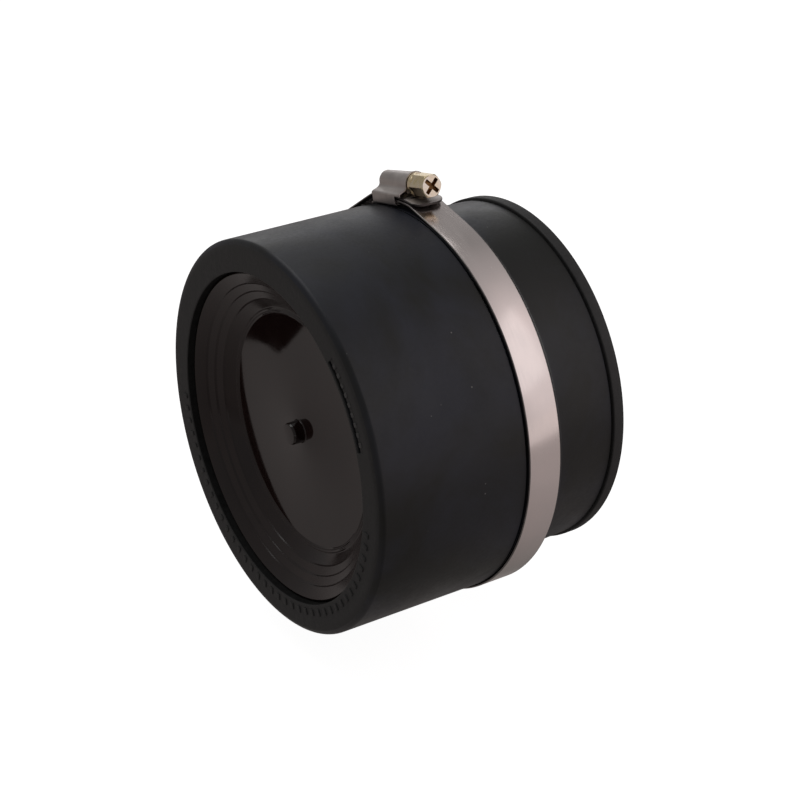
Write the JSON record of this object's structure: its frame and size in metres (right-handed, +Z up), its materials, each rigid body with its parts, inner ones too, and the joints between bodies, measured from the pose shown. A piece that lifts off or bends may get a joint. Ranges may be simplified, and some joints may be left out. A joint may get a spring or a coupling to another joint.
{
  "type": "flexible pipe coupling",
  "caption": "Rubber pipe coupling: a thick end closed by a dished plug, a worm-drive band clamp in its seat and a thinner socket sleeve that slips over a drain pipe.",
  "frame": {"origin": "on the axis, at the mouth of the open socket end", "axes": "+X out of the open end along the axis, +Z up with the clamp's housing near the top, -Y the side that the screw head points to"},
  "size_m": [0.0975, 0.1334, 0.1452],
  "materials": {
    "body_rubber": "matte moulded black rubber",
    "plug_plastic": "glossy moulded brown-black",
    "strap_steel": "bright rolled stainless strip",
    "housing_steel": "satin stamped stainless",
    "screw_zinc": "yellow-passivated zinc plate"
  },
  "bodies": {
    "coupling": {"coupling_body": "body_rubber"},
    "plug": {"end_plug": "plug_plastic"},
    "clamp": {"clamp_band": "strap_steel", "clamp_saddle": "housing_steel", "clamp_housing": "housing_steel"},
    "screw": {"worm_screw": "screw_zinc"},
    "tail": {"band_tail": "strap_steel"}
  },
  "joints": [
    {"name": "plug_pull", "type": "slide", "parent": "coupling", "child": "plug", "axis": [-1, 0, 0], "range_m": [0, 0.04]},
    {"name": "clamp_turn", "type": "hinge", "parent": "coupling", "child": "clamp", "pos_m": [-0.037, 0, 0], "axis": [1, 0, 0], "continuous": true},
    {"name": "screw_turn", "type": "hinge", "parent": "clamp", "child": "screw", "pos_m": [-0.037, 0.01629, 0.07054], "axis": [0, 0.9744, -0.225], "range_deg": [-360, 1080]},
    {"name": "tail_feed", "type": "hinge", "parent": "clamp", "child": "tail", "pos_m": [-0.037, 0, 0], "axis": [1, 0, 0], "range_deg": [-2.5, 7.5]}
  ],
  "couplings": [
    {"joint": "tail_feed", "follows": "screw_turn", "ratio": 0.0069047}
  ]
}
